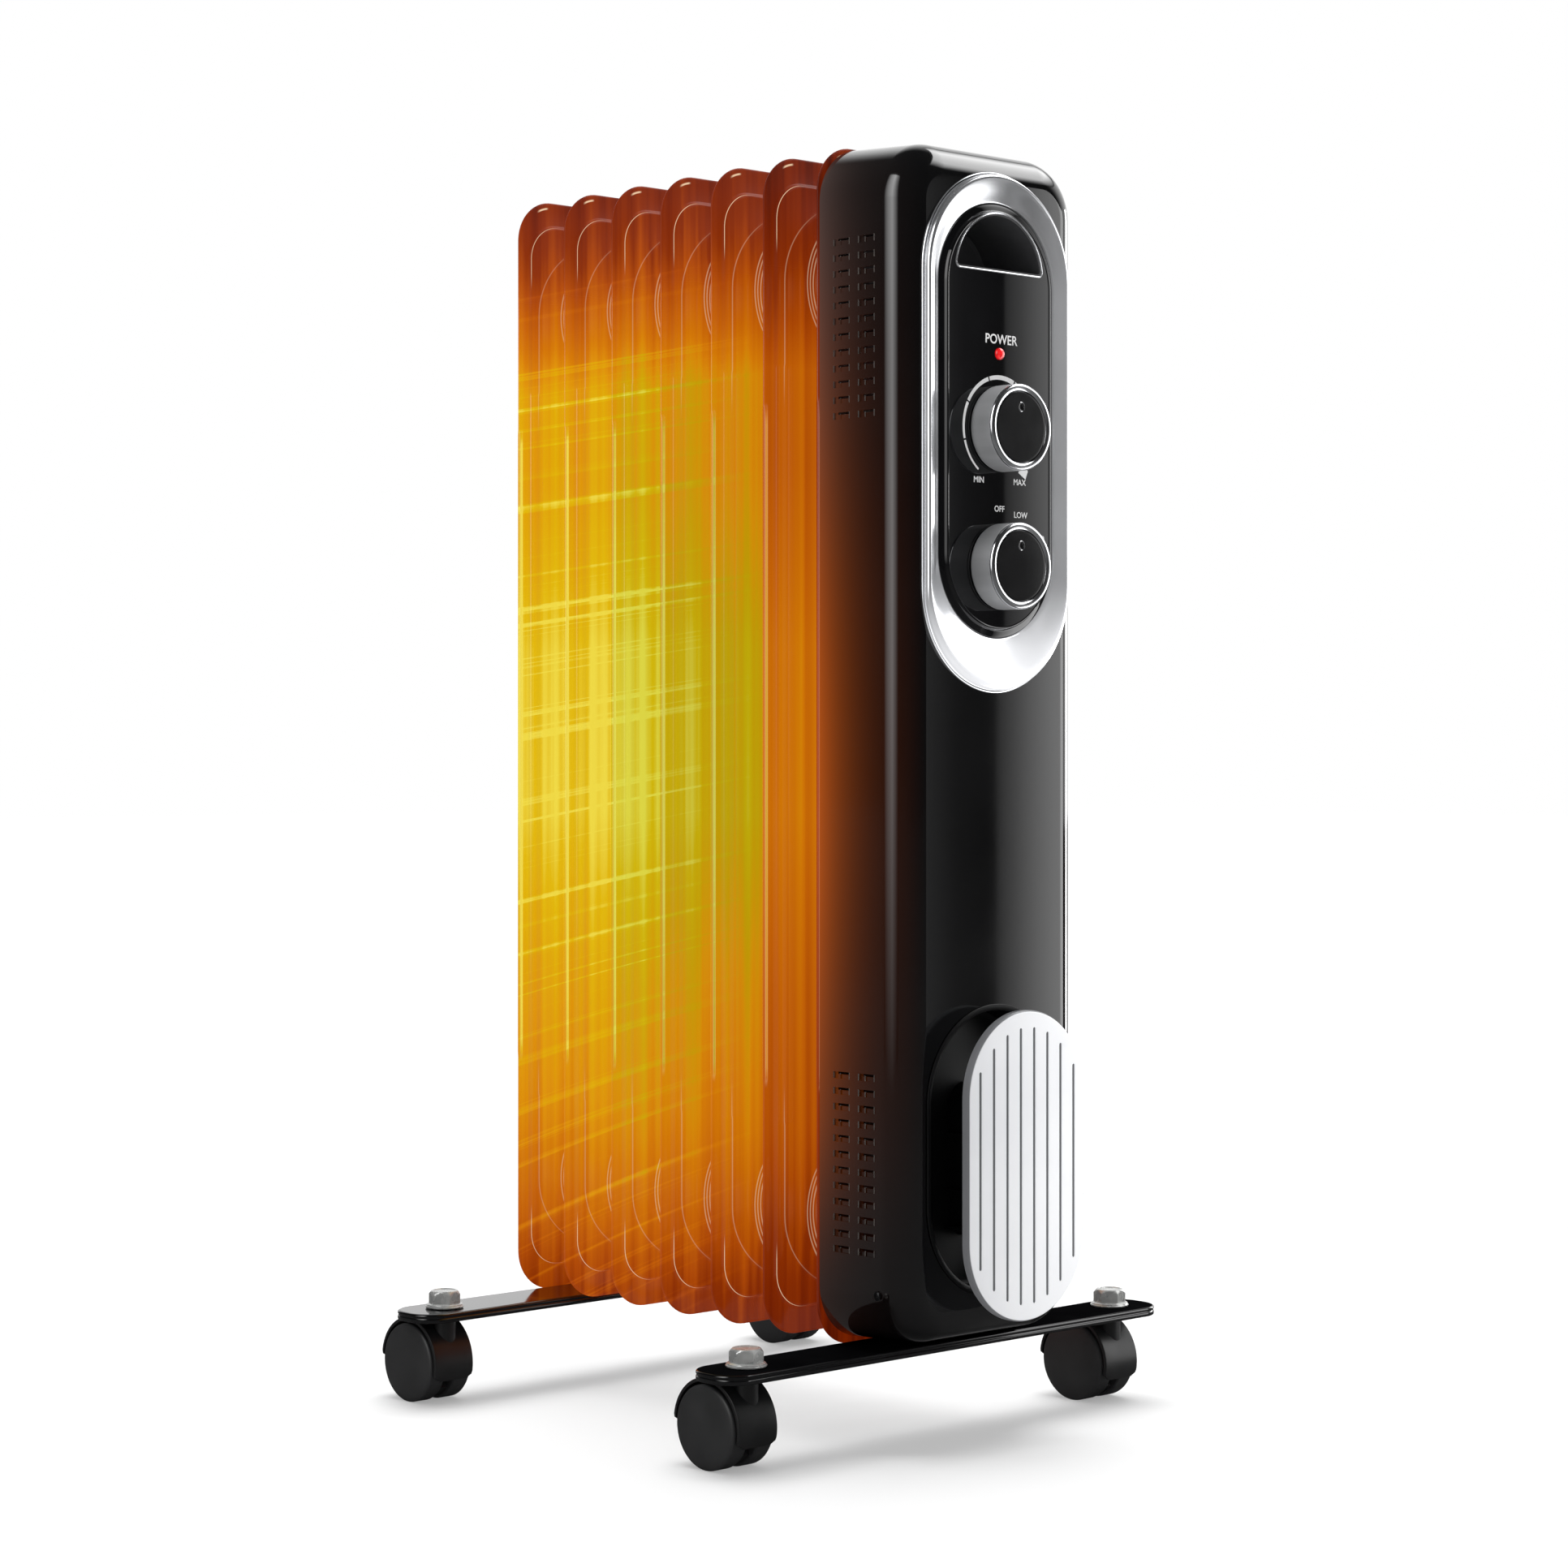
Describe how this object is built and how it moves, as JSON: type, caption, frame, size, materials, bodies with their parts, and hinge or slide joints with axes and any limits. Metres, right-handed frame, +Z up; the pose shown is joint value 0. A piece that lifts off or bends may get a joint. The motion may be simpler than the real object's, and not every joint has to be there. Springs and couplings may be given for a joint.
{
  "type": "oil filled radiator heater",
  "caption": "Free-standing oil filled radiator with joined fins, a control panel with two dials, a pull handle hollow, cord storage and twin-wheel casters.",
  "frame": {"origin": "on the floor, under the middle of the heater's bounding box", "axes": "+Z up, the control panel faces -Y and the fins stack towards +Y, +X is to the right when facing the panel"},
  "size_m": [0.3, 0.3256, 0.6225],
  "materials": {
    "fin_enamel": "gloss enamel, shown glowing orange",
    "cover_paint": "gloss black",
    "trim_chrome": "polished",
    "panel_black": "high gloss",
    "recess_black": "satin moulded",
    "lamp_red": "translucent lens",
    "knob_metal": "satin with a bright rim",
    "knob_face_black": "high gloss",
    "plate_silver": "satin, edges polished",
    "bar_paint": "gloss black",
    "bolt_zinc": "zinc plated",
    "caster_black": "satin moulded",
    "inner_steel": "plain",
    "inner_plastic": "moulded"
  },
  "bodies": {
    "heater": {"fin_1": "fin_enamel", "fin_2": "fin_enamel", "fin_3": "fin_enamel", "fin_4": "fin_enamel", "fin_5": "fin_enamel", "fin_6": "fin_enamel", "fin_7": "fin_enamel", "heating_element": "inner_steel", "heat_shield": "inner_steel", "front_cover": "cover_paint", "side_screw_left": "bolt_zinc", "side_screw_right": "bolt_zinc", "trim_ring": "trim_chrome", "control_panel": "panel_black", "handle_cup": "recess_black", "lamp_lens": "lamp_red", "thermostat_body": "inner_plastic", "mode_switch_body": "inner_plastic", "terminal_block": "inner_plastic", "tip_over_switch": "inner_plastic", "thermal_cutoff": "inner_steel", "cord_recess": "recess_black", "winder_post": "recess_black", "winder_plate": "plate_silver", "cord_gland": "recess_black", "foot_bar_front": "bar_paint", "header_clamp_front": "bolt_zinc", "clamp_nut_front_left": "bolt_zinc", "caster_bolt_front_left": "bolt_zinc", "clamp_nut_front_right": "bolt_zinc", "caster_bolt_front_right": "bolt_zinc", "foot_bar_rear": "bar_paint", "header_clamp_rear": "bolt_zinc", "clamp_nut_rear_left": "bolt_zinc", "caster_bolt_rear_left": "bolt_zinc", "clamp_nut_rear_right": "bolt_zinc", "caster_bolt_rear_right": "bolt_zinc"},
    "thermostat_dial": {"thermostat_knob": "knob_metal", "thermostat_knob_face": "knob_face_black", "thermostat_shaft": "inner_steel"},
    "mode_dial": {"mode_knob": "knob_metal", "mode_knob_face": "knob_face_black", "mode_shaft": "inner_steel"},
    "caster_front_left": {"caster_hood_front_left": "caster_black", "caster_axle_front_left": "inner_steel"},
    "wheel_body_front_left_a": {"wheel_front_left_a": "caster_black"},
    "wheel_body_front_left_b": {"wheel_front_left_b": "caster_black"},
    "caster_front_right": {"caster_hood_front_right": "caster_black", "caster_axle_front_right": "inner_steel"},
    "wheel_body_front_right_a": {"wheel_front_right_a": "caster_black"},
    "wheel_body_front_right_b": {"wheel_front_right_b": "caster_black"},
    "caster_rear_left": {"caster_hood_rear_left": "caster_black", "caster_axle_rear_left": "inner_steel"},
    "wheel_body_rear_left_a": {"wheel_rear_left_a": "caster_black"},
    "wheel_body_rear_left_b": {"wheel_rear_left_b": "caster_black"},
    "caster_rear_right": {"caster_hood_rear_right": "caster_black", "caster_axle_rear_right": "inner_steel"},
    "wheel_body_rear_right_a": {"wheel_rear_right_a": "caster_black"},
    "wheel_body_rear_right_b": {"wheel_rear_right_b": "caster_black"}
  },
  "joints": [
    {"name": "thermostat_turn", "type": "hinge", "parent": "heater", "child": "thermostat_dial", "pos_m": [0, -0.15, 0.486], "axis": [0, 1, 0], "range_deg": [-144, 144]},
    {"name": "mode_turn", "type": "hinge", "parent": "heater", "child": "mode_dial", "pos_m": [0, -0.15, 0.4202], "axis": [0, 1, 0], "range_deg": [0, 90]},
    {"name": "swivel_front_left", "type": "hinge", "parent": "heater", "child": "caster_front_left", "pos_m": [-0.1257, -0.10275, 0.043], "axis": [0, 0, 1], "continuous": true},
    {"name": "roll_front_left_a", "type": "hinge", "parent": "caster_front_left", "child": "wheel_body_front_left_a", "pos_m": [-0.1339, -0.08825, 0.02], "axis": [1, 0, 0], "continuous": true},
    {"name": "roll_front_left_b", "type": "hinge", "parent": "caster_front_left", "child": "wheel_body_front_left_b", "pos_m": [-0.1175, -0.08825, 0.02], "axis": [1, 0, 0], "continuous": true},
    {"name": "swivel_front_right", "type": "hinge", "parent": "heater", "child": "caster_front_right", "pos_m": [0.1257, -0.10275, 0.043], "axis": [0, 0, 1], "continuous": true},
    {"name": "roll_front_right_a", "type": "hinge", "parent": "caster_front_right", "child": "wheel_body_front_right_a", "pos_m": [0.1175, -0.08825, 0.02], "axis": [1, 0, 0], "continuous": true},
    {"name": "roll_front_right_b", "type": "hinge", "parent": "caster_front_right", "child": "wheel_body_front_right_b", "pos_m": [0.1339, -0.08825, 0.02], "axis": [1, 0, 0], "continuous": true},
    {"name": "swivel_rear_left", "type": "hinge", "parent": "heater", "child": "caster_rear_left", "pos_m": [-0.1257, 0.12525, 0.043], "axis": [0, 0, 1], "continuous": true},
    {"name": "roll_rear_left_a", "type": "hinge", "parent": "caster_rear_left", "child": "wheel_body_rear_left_a", "pos_m": [-0.1339, 0.13975, 0.02], "axis": [1, 0, 0], "continuous": true},
    {"name": "roll_rear_left_b", "type": "hinge", "parent": "caster_rear_left", "child": "wheel_body_rear_left_b", "pos_m": [-0.1175, 0.13975, 0.02], "axis": [1, 0, 0], "continuous": true},
    {"name": "swivel_rear_right", "type": "hinge", "parent": "heater", "child": "caster_rear_right", "pos_m": [0.1257, 0.12525, 0.043], "axis": [0, 0, 1], "continuous": true},
    {"name": "roll_rear_right_a", "type": "hinge", "parent": "caster_rear_right", "child": "wheel_body_rear_right_a", "pos_m": [0.1175, 0.13975, 0.02], "axis": [1, 0, 0], "continuous": true},
    {"name": "roll_rear_right_b", "type": "hinge", "parent": "caster_rear_right", "child": "wheel_body_rear_right_b", "pos_m": [0.1339, 0.13975, 0.02], "axis": [1, 0, 0], "continuous": true}
  ]
}
